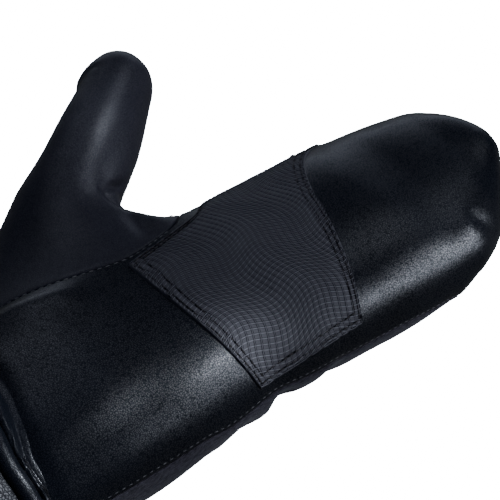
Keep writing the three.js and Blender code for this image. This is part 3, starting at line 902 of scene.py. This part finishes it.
# Grip patch: a thin rubber sheet with a lattice of small raised squares on wavy lines
patch = {
    # shares of the hand's length and angles, in rows across from the wrist towards the fingertips
    "down": (0, 0.36, 0.5, 1),
    "rows": (((0.278, 105), (0.278, 69), (0.317, 14)),
             ((0.436, 115), (0.392, 77), (0.394, 15.5)),
             ((0.5, 133), (0.441, 80), (0.423, 16)),
             ((0.784, 157), (0.617, 92), (0.524, 17))),
    "clearance": 0.12, "thickness": 0.7, "steps": 80, "edgeDrop": 0.6, "edgeReach": 1.1,
    "pitchAlong": 2.5, "pitchRound": 1.75, "wave": 2.2, "waveLength": 34, "wavePhase": 0.9,
    "raise": 0.22, "ridge": 0.24, "wall": 0.09, "groove": 0.22, "sink": 0.3, "border": 0.4,
    "stitchRows": (2.2, 5.4), "stitch": 1.9, "stitchGap": 0.8, "thread": 0.42, "furrowShadeWidth": 0.75,
}
patchColumns = [[smoothCurve(patch["down"], [row[column][i] for row in patch["rows"]])
                 for i in (0, 1)] for column in range(3)]


# Distance and angle on the hand at a place on the patch
def patchPlace(down, across):
    weights = (2 * (across - 0.5) * (across - 1), 4 * across * (1 - across),
               2 * across * (across - 0.5))
    along = sum(weight * column[0](down) for weight, column in zip(weights, patchColumns))
    around = sum(weight * column[1](down) for weight, column in zip(weights, patchColumns))
    return along * hand["length"], around


def skinLift(along, around, height):
    return skinPoint(along, around) + skinNormal(along, around) * height


# The patch's outline a little inside its edge, as corners of shares
def patchLoop(inset, count=60):
    wide = (skinPoint(*patchPlace(0.5, 0)) - skinPoint(*patchPlace(0.5, 1))).length * 1.15
    tall = (skinPoint(*patchPlace(0, 0.5)) - skinPoint(*patchPlace(1, 0.5))).length * 1.05
    a, b = inset / wide, inset / tall
    corners = [(b, a), (b, 1 - a), (1 - b, 1 - a), (1 - b, a)]
    loop = []
    for (d0, a0), (d1, a1) in zip(corners, corners[1:] + corners[:1]):
        loop += [(mix(d0, d1, i / count), mix(a0, a1, i / count)) for i in range(count)]
    return loop


stitchLoops = [[skinLift(*patchPlace(*spot), patch["clearance"] + patch["thickness"])
                for spot in patchLoop(inset)] for inset in patch["stitchRows"]]
stitchGrooves = [(loop[::6] + loop[:1], 1.0, -0.35) for loop in stitchLoops]


def sewnDown(mesh):
    spots = np.array([vert.co for vert in mesh.verts])
    mesh.normal_update()
    drop = np.zeros(len(spots))
    for path, width, rise in stitchGrooves:
        gap, _ = pathDistance(spots, path)
        drop += rise * np.exp(-(gap / width) ** 2)
    for vert, move in zip(mesh.verts, drop):
        vert.co += vert.normal * move


def patchSheet():
    def place(across, down):
        top = patch["clearance"] + patch["thickness"]
        return skinLift(*patchPlace(crowded(down, 0.5), crowded(across, 0.5)), top)
    mesh = skinGrid(patch["steps"], patch["steps"], place, fromAxis)
    addRelief(mesh, panels["lump"])
    sewnDown(mesh)
    turnEdges(mesh, patch["edgeDrop"], patch["edgeReach"])
    return finishPiece(mesh, "gripPatch", [grip], "grip_patch", patch["thickness"])


def inOutline(spot, outline):
    inside = False
    for a, b in zip(outline, outline[1:] + outline[:1]):
        if (a[1] > spot[1]) != (b[1] > spot[1]):
            if spot[0] < a[0] + (b[0] - a[0]) * (spot[1] - a[1]) / (b[1] - a[1]):
                inside = not inside
    return inside


# Nearest place on the outline, for the cells that it cuts
def ontoOutline(spot, outline):
    best = None
    for a, b in zip(outline, outline[1:] + outline[:1]):
        run = Vector(b) - Vector(a)
        share = clamp((Vector(spot) - Vector(a)).dot(run) / max(run.length_squared, 1e-9))
        place = Vector(a) + run * share
        gap = (place - Vector(spot)).length
        if best is None or gap < best[0]:
            best = (gap, place)
    return tuple(best[1])


def patchLattice():
    # angle about the hand for a distance round its skin, taken across the middle of the patch
    turns = [i * 2 for i in range(86)]
    rounds = [0]
    for a, b in zip(turns, turns[1:]):
        rounds.append(rounds[-1] + (skinPoint(98, b) - skinPoint(98, a)).length)
    angleOf = smoothCurve(rounds, turns)
    outline = [patchPlace(*spot) for spot in patchLoop(patch["border"], 24)]
    low = [min(spot[i] for spot in outline) for i in (0, 1)]
    high = [max(spot[i] for spot in outline) for i in (0, 1)]
    firstRound = rounds[max(int(low[1] / 2) - 4, 0)]
    lastRound = rounds[min(int(high[1] / 2) + 4, len(rounds) - 1)]
    alongCells = math.ceil((high[0] - low[0] + 12) / patch["pitchAlong"])
    roundCells = math.ceil((lastRound - firstRound) / patch["pitchRound"])
    mesh = bmesh.new()
    bmesh.ops.create_grid(mesh, x_segments=alongCells, y_segments=roundCells, size=0.5)
    spots = {}
    for vert in mesh.verts:
        along = low[0] - 6 + (vert.co.x + 0.5) * alongCells * patch["pitchAlong"]
        distance = firstRound + (vert.co.y + 0.5) * roundCells * patch["pitchRound"]
        waveAlong = math.sin(math.tau * along / patch["waveLength"] + patch["wavePhase"])
        waveRound = math.sin(math.tau * distance / patch["waveLength"] + 2.1)
        distance += patch["wave"] * waveAlong
        along += patch["wave"] * waveRound
        spots[vert] = (along, clamp(angleOf(clamp(distance, 0, rounds[-1])), 0, 178))
    inside = {vert for vert in mesh.verts if inOutline(spots[vert], outline)}
    outside = [face for face in mesh.faces if len(inside.intersection(face.verts)) < 2]
    for vert in mesh.verts:
        if vert not in inside:
            spots[vert] = ontoOutline(spots[vert], outline)
    top = patch["clearance"] + patch["thickness"] + patch["raise"]
    for vert in mesh.verts:
        vert.co = skinLift(*spots[vert], top)
    bmesh.ops.delete(mesh, geom=outside, context="FACES")
    mesh.normal_update()
    mesh.faces.ensure_lookup_table()
    if mesh.faces[0].normal.dot(fromAxis(mesh.faces[0].calc_center_median())) < 0:
        bmesh.ops.reverse_faces(mesh, faces=mesh.faces)
    addRelief(mesh, panels["lump"])
    sewnDown(mesh)
    cells = mesh.faces[:]
    cellMap = mesh.loops.layers.uv.new("cell")
    for cell in cells:
        for loop, corner in zip(cell.loops, ((0, 0), (1, 0), (1, 1), (0, 1))):
            loop[cellMap].uv = corner
    rim = [edge for edge in mesh.edges if edge.is_boundary]
    skirt = bmesh.ops.extrude_edge_only(mesh, edges=rim)["geom"]
    for vert in (item for item in skirt if isinstance(item, bmesh.types.BMVert)):
        vert.co -= skinNormal(vert.co.y, 60) * 0.5
    # Walls and grooves take the near-black groove finish, painted shade in the recesses; ridges take the
    # painted highlight.
    for width, rise, finish in ((patch["ridge"], 0, 2), (patch["wall"], -patch["sink"], 1),
                                (patch["groove"], 0, 1), (patch["wall"], patch["sink"] * 0.8, 1)):
        ring = bmesh.ops.inset_individual(mesh, faces=cells, thickness=width, depth=rise)["faces"]
        for face in ring:
            face.material_index = finish
            # only the ridges that run along the hand take the painted highlight; those that run round it
            # keep the plain grip finish
            longest = max(face.edges, key=lambda edge: edge.calc_length())
            run = longest.verts[0].co - longest.verts[1].co
            if finish == 2 and abs(run.y) < 0.7 * run.length:
                face.material_index = 0
    piece = finishPiece(mesh, "gripLattice", [grip, gripGroovePaintedShade, gripRidgeHighlight])
    piece.data.shade_flat()
    return piece


patchSheet()
patchLattice()
print("grip patch made")


# Stitches: short bowed threads laid along a path, each sunk at both ends
def stitchPiece(name, paths, size, thread):
    seed = bmesh.new()
    bmesh.ops.create_uvsphere(seed, u_segments=6, v_segments=6, radius=0.5)
    bmesh.ops.rotate(seed, verts=seed.verts, cent=(0, 0, 0), matrix=Matrix.Rotation(math.pi / 2, 3, "Y"))
    bmesh.ops.scale(seed, verts=seed.verts, vec=(size["length"], size["width"], size["width"]))
    data = bpy.data.meshes.new("stitchSeed")
    seed.to_mesh(data)
    seed.free()
    mesh = bmesh.new()
    for path, closed in paths:
        points = path + path[:1] if closed else path
        lengths = [0]
        for a, b in zip(points, points[1:]):
            lengths.append(lengths[-1] + (b[0] - a[0]).length)
        count = int(lengths[-1] / (size["length"] + size["gap"]))
        for k in range(count):
            at = lengths[-1] * (k + 0.5) / count
            i = min(bisect.bisect_right(lengths, at) - 1, len(points) - 2)
            share = (at - lengths[i]) / max(lengths[i + 1] - lengths[i], 1e-6)
            run = (points[i + 1][0] - points[i][0]).normalized()
            up = points[i][1].lerp(points[i + 1][1], share).normalized()
            spot = points[i][0].lerp(points[i + 1][0], share) + up * size["rise"]
            side = up.cross(run).normalized()
            turn = Matrix((run, side, run.cross(side))).transposed().to_4x4()
            before = len(mesh.verts)
            mesh.from_mesh(data)
            mesh.verts.ensure_lookup_table()
            bmesh.ops.transform(mesh, matrix=Matrix.Translation(spot) @ turn,
                                verts=mesh.verts[before:])
    bpy.data.meshes.remove(data)
    return finishPiece(mesh, name, [thread])


def skinPath(spots, height=0.0):
    points = [skinPoint(along, around) for along, around in spots]
    normals = [skinNormal(along, around) for along, around in spots]
    rises = reliefAt([point + normal * height for point, normal in zip(points, normals)],
                     panels["lump"])
    return [(point + normal * (height + rise), normal)
            for point, normal, rise in zip(points, normals, rises)]


# Dark strip laid along a row of stitches: painted shade in the furrow that the row lies in
def furrowShadeStrips(name, paths, width, rise, material):
    mesh = bmesh.new()
    for path, _ in paths:
        rows = []
        for i, (spot, up) in enumerate(path):
            run = path[(i + 1) % len(path)][0] - path[i - 1][0]
            side = up.cross(run).normalized() * width / 2
            rows.append([mesh.verts.new(spot + up * lift + side * across)
                         for across, lift in ((-1, rise - 0.1), (0, rise), (1, rise - 0.1))])
        for here, ahead in zip(rows, rows[1:] + rows[:1]):
            for i in range(2):
                mesh.faces.new((here[i], here[i + 1], ahead[i + 1], ahead[i]))
    bmesh.ops.recalc_face_normals(mesh, faces=mesh.faces)
    mesh.faces.ensure_lookup_table()
    mesh.normal_update()
    if mesh.faces[0].normal.dot(paths[0][0][0][1]) < 0:
        bmesh.ops.reverse_faces(mesh, faces=mesh.faces)
    return finishPiece(mesh, name, [material])


patchTop = patch["clearance"] + patch["thickness"]
patchStitchPaths = [(skinPath([patchPlace(*spot) for spot in patchLoop(inset)], patchTop), True)
                    for inset in patch["stitchRows"]]
# Painted shade strips along the patch's stitch rows
furrowShadeStrips("patchFurrowShade", patchStitchPaths, patch["furrowShadeWidth"], 0.02, gripGroovePaintedShade)
stitchPiece("patchStitches", patchStitchPaths,
            {"length": patch["stitch"], "gap": patch["stitchGap"], "width": patch["thread"],
             "rise": 0.05}, darkThread)

sideSpots = [(2 + i * 2.0, pinkySeam(2 + i * 2.0) + 2.8) for i in range(98)]
stitchPiece("sideStitches", [(skinPath(sideSpots), False)],
            {"length": 1.7, "gap": 1.1, "width": 0.4, "rise": -0.1}, paleThread)

thumbSpots = []
for step in range(44, 96):
    along, around, _ = seamPoint(round(step * 0.1, 4))
    thumbSpots.append((along, around - 1.2))
stitchPiece("thumbStitches", [(skinPath(thumbSpots), False)],
            {"length": 1.7, "gap": 1.3, "width": 0.42, "rise": 0.15}, paleThread)
print("stitches made")

# Plain pale floor, lit from within for the camera and only faintly so for glossy leather
floorMesh = bmesh.new()
bmesh.ops.create_grid(floorMesh, x_segments=1, y_segments=1, size=6)
bmesh.ops.translate(floorMesh, verts=floorMesh.verts, vec=(0, 0, -0.0004))
floorData = bpy.data.meshes.new("floor")
floorMesh.to_mesh(floorData)
floorMesh.free()
floor = bpy.data.objects.new("floor", floorData)
bpy.context.scene.collection.objects.link(floor)
floorMaterial = bpy.data.materials.new("floor")
floorMaterial.use_nodes = True
floorTree = floorMaterial.node_tree
floorShader = floorTree.nodes["Principled BSDF"]
floorShader.inputs["Base Color"].default_value = (0.08, 0.08, 0.08, 1)
floorShader.inputs["Roughness"].default_value = 1
floorShader.inputs["Specular IOR Level"].default_value = 0
rays = addNode(floorTree, "ShaderNodeLightPath").outputs
floorShader.inputs["Emission Color"].default_value = (0.92, 0.95, 1, 1)
glow = mathNode(floorTree, "ADD", mathNode(floorTree, "MULTIPLY", rays["Is Camera Ray"], 24.0),
                mathNode(floorTree, "MULTIPLY", rays["Is Glossy Ray"], 0.07))
floorTree.links.new(glow, floorShader.inputs["Emission Strength"])
floorData.materials.append(floorMaterial)

world = bpy.data.worlds.new("studio")
bpy.context.scene.world = world
world.use_nodes = True
world.node_tree.nodes["Background"].inputs["Color"].default_value = (0.5, 0.62, 1, 1)
world.node_tree.nodes["Background"].inputs["Strength"].default_value = 0.06


# Softboxes, aimed at a point of the mitten, each with its long side turned along a direction
def softbox(name, place, aim, width, height, power, tint=(1, 1, 1), run=(1, 0, 0)):
    light = bpy.data.lights.new(name, "AREA")
    light.shape = "RECTANGLE"
    light.size = width
    light.size_y = height
    light.energy = power
    light.color = tint
    lamp = bpy.data.objects.new(name, light)
    outward = (Vector(place) - Vector(aim)).normalized()
    across = outward.cross(Vector(run)).normalized()
    turned = Matrix((across.cross(outward), across, outward)).transposed().to_4x4()
    lamp.matrix_world = Matrix.Translation(place) @ turned
    bpy.context.scene.collection.objects.link(lamp)


softbox("bandLight", (0.81, 0.74, 0.41), (0.03, 0.03, 0.04), 0.46, 0.12, 4.8, (0.8, 0.86, 1),
        (0.12, 0.24, -0.36))
softbox("heelLight", (0.25, 0.33, 1.05), (0, 0, 0.04), 0.24, 0.2, 0.25, (0.8, 0.86, 1))
softbox("topLight", (-0.05, 0.78, 0.88), (-0.02, 0.08, 0.05), 0.4, 0.3, 0.6, (0.8, 0.86, 1))
softbox("fillLight", (-0.42, 0.15, 1.03), (-0.03, 0, 0.05), 0.5, 0.4, 0.3, (0.76, 0.82, 1))
softbox("sideLight", (-0.82, 0.10, 0.82), (-0.03, 0, 0.05), 0.4, 0.3, 0.45, (0.76, 0.82, 1))
softbox("backLight", (-0.95, 0.75, 0.12), (-0.02, 0, 0.04), 1.2, 0.2, 1.0, (0.75, 0.82, 1))


# Narrow soft spotlights, each for one highlight
def spotlight(name, place, aim, power, cone, radius=0.015, tint=(0.82, 0.88, 1)):
    light = bpy.data.lights.new(name, "SPOT")
    light.energy = power
    light.spot_size = math.radians(cone)
    light.spot_blend = 1
    light.shadow_soft_size = radius
    light.color = tint
    lamp = bpy.data.objects.new(name, light)
    turned = (Vector(place) - toFrame @ aim).to_track_quat("Z", "Y").to_matrix().to_4x4()
    lamp.matrix_world = Matrix.Translation(place) @ turned
    bpy.context.scene.collection.objects.link(lamp)


spotlight("thumbSpot", (-0.02, 0.59, 0.99), thumbPoint(5.5, 1.27), 16, 2.5)
spotlight("heelSpot", (0.61, 0.48, 0.83), skinPoint(67, 39), 37, 2.0)
spotlight("tipSpot", (0.62, 0.85, 0.59), skinPoint(174, 32), 20, 2.4)
spotlight("rollSpot", (0.30, 0.58, 0.84), skinPoint(-12, 52), 70, 3.6, 0.04)

# Camera at the photograph's angle
view = {"target": (0, 29, 28), "azimuth": 49, "elevation": 41, "distance": 720, "lens": 142.56,
        "right": -4.73, "up": 12.73}
azimuth, elevation = math.radians(view["azimuth"]), math.radians(view["elevation"])
away = Vector((math.cos(elevation) * math.sin(azimuth), -math.cos(elevation) * math.cos(azimuth),
               math.sin(elevation)))
sideways = Vector((math.cos(azimuth), math.sin(azimuth), 0))
upright = away.cross(sideways)
aimAt = Vector(view["target"]) + sideways * view["right"] + upright * view["up"]
camera = bpy.data.objects.new("camera", bpy.data.cameras.new("camera"))
camera.data.lens = view["lens"]
camera.data.clip_start = 0.01
place = (aimAt + away * view["distance"]) * 0.001
turn = Matrix((sideways, upright, away)).transposed().to_4x4()
camera.matrix_world = Matrix.Translation(place) @ turn
bpy.context.scene.collection.objects.link(camera)
bpy.context.scene.camera = camera
print("stage, lights and camera made")
